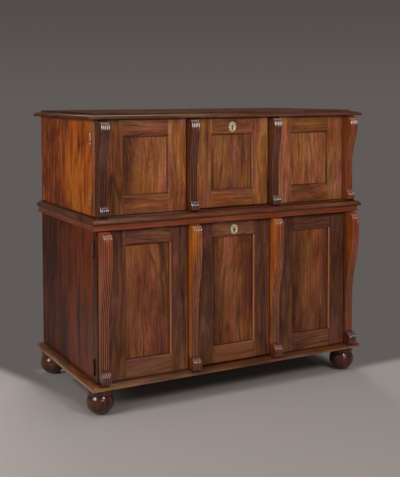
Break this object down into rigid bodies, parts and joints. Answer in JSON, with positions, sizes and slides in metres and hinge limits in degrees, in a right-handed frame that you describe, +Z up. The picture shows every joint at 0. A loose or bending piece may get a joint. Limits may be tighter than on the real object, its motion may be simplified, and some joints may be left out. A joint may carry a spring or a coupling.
{
  "type": "collectors cabinet",
  "caption": "Two-stage wooden collectors cabinet on bun feet, with panelled side doors and locking fall fronts between reeded scroll pilasters.",
  "frame": {"origin": "middle of the floor footprint, at the soles of the bun feet", "axes": "+Z up, +X to the right seen from the front, the front faces -Y"},
  "size_m": [1.26, 0.704, 1.1445],
  "materials": {
    "rosewood": "polished red-brown rosewood",
    "dark_rosewood": "polished dark rosewood",
    "pine": "plain planed secondary wood",
    "bone": "aged bone",
    "brass": "tarnished brass"
  },
  "bodies": {
    "carcass": {"top_board": "rosewood", "waist_lip_board": "rosewood", "waist_band_board": "dark_rosewood", "base_board": "rosewood", "front_left_foot": "dark_rosewood", "front_right_foot": "dark_rosewood", "rear_left_foot": "dark_rosewood", "rear_right_foot": "dark_rosewood", "upper_left_side": "rosewood", "upper_right_side": "rosewood", "lower_left_side": "rosewood", "lower_right_side": "rosewood", "upper_back_board": "pine", "lower_back_board": "pine", "upper_left_divider": "pine", "upper_right_divider": "pine", "lower_left_divider": "pine", "lower_right_divider": "pine", "lower_left_shelf": "pine", "lower_centre_shelf": "pine", "lower_right_shelf": "pine", "upper_left_inner_pilaster": "dark_rosewood", "upper_right_inner_pilaster": "dark_rosewood", "lower_left_inner_pilaster": "dark_rosewood", "lower_right_inner_pilaster": "dark_rosewood", "upper_left_top_hinge": "brass", "upper_left_bottom_hinge": "brass", "upper_right_top_hinge": "brass", "upper_right_bottom_hinge": "brass", "lower_left_top_hinge": "brass", "lower_left_bottom_hinge": "brass", "lower_right_top_hinge": "brass", "lower_right_bottom_hinge": "brass", "upper_flap_left_pin": "brass", "upper_flap_right_pin": "brass", "lower_flap_left_pin": "brass", "lower_flap_right_pin": "brass"},
    "upper_left_door": {"upper_left_door_frame": "rosewood", "upper_left_door_panel": "rosewood", "upper_left_outer_pilaster": "dark_rosewood"},
    "upper_right_door": {"upper_right_door_frame": "rosewood", "upper_right_door_panel": "rosewood", "upper_right_outer_pilaster": "dark_rosewood"},
    "lower_left_door": {"lower_left_door_frame": "rosewood", "lower_left_door_panel": "rosewood", "lower_left_outer_pilaster": "dark_rosewood"},
    "lower_right_door": {"lower_right_door_frame": "rosewood", "lower_right_door_panel": "rosewood", "lower_right_outer_pilaster": "dark_rosewood"},
    "upper_flap": {"upper_flap_frame": "rosewood", "upper_flap_panel": "rosewood", "upper_escutcheon": "bone", "upper_lock_case": "brass"},
    "lower_flap": {"lower_flap_frame": "rosewood", "lower_flap_panel": "rosewood", "lower_escutcheon": "bone", "lower_lock_case": "brass"},
    "upper_bolt": {"upper_lock_bolt": "brass"},
    "lower_bolt": {"lower_lock_bolt": "brass"}
  },
  "joints": [
    {"name": "upper_left_door_hinge", "type": "hinge", "parent": "carcass", "child": "upper_left_door", "pos_m": [-0.5989, -0.24725, 0.9375], "axis": [0, 0, -1], "range_deg": [0, 180]},
    {"name": "upper_right_door_hinge", "type": "hinge", "parent": "carcass", "child": "upper_right_door", "pos_m": [0.5989, -0.24725, 0.9375], "axis": [0, 0, 1], "range_deg": [0, 180]},
    {"name": "lower_left_door_hinge", "type": "hinge", "parent": "carcass", "child": "lower_left_door", "pos_m": [-0.5989, -0.26125, 0.41475], "axis": [0, 0, -1], "range_deg": [0, 180]},
    {"name": "lower_right_door_hinge", "type": "hinge", "parent": "carcass", "child": "lower_right_door", "pos_m": [0.5989, -0.26125, 0.41475], "axis": [0, 0, 1], "range_deg": [0, 180]},
    {"name": "upper_flap_fall", "type": "hinge", "parent": "carcass", "child": "upper_flap", "pos_m": [0, -0.267, 0.7645], "axis": [1, 0, 0], "range_deg": [0, 90]},
    {"name": "lower_flap_fall", "type": "hinge", "parent": "carcass", "child": "lower_flap", "pos_m": [0, -0.281, 0.1345], "axis": [1, 0, 0], "range_deg": [0, 90]},
    {"name": "upper_bolt_throw", "type": "slide", "parent": "upper_flap", "child": "upper_bolt", "axis": [0, 0, 1], "range_m": [0, 0.008]},
    {"name": "lower_bolt_throw", "type": "slide", "parent": "lower_flap", "child": "lower_bolt", "axis": [0, 0, 1], "range_m": [0, 0.008]}
  ]
}
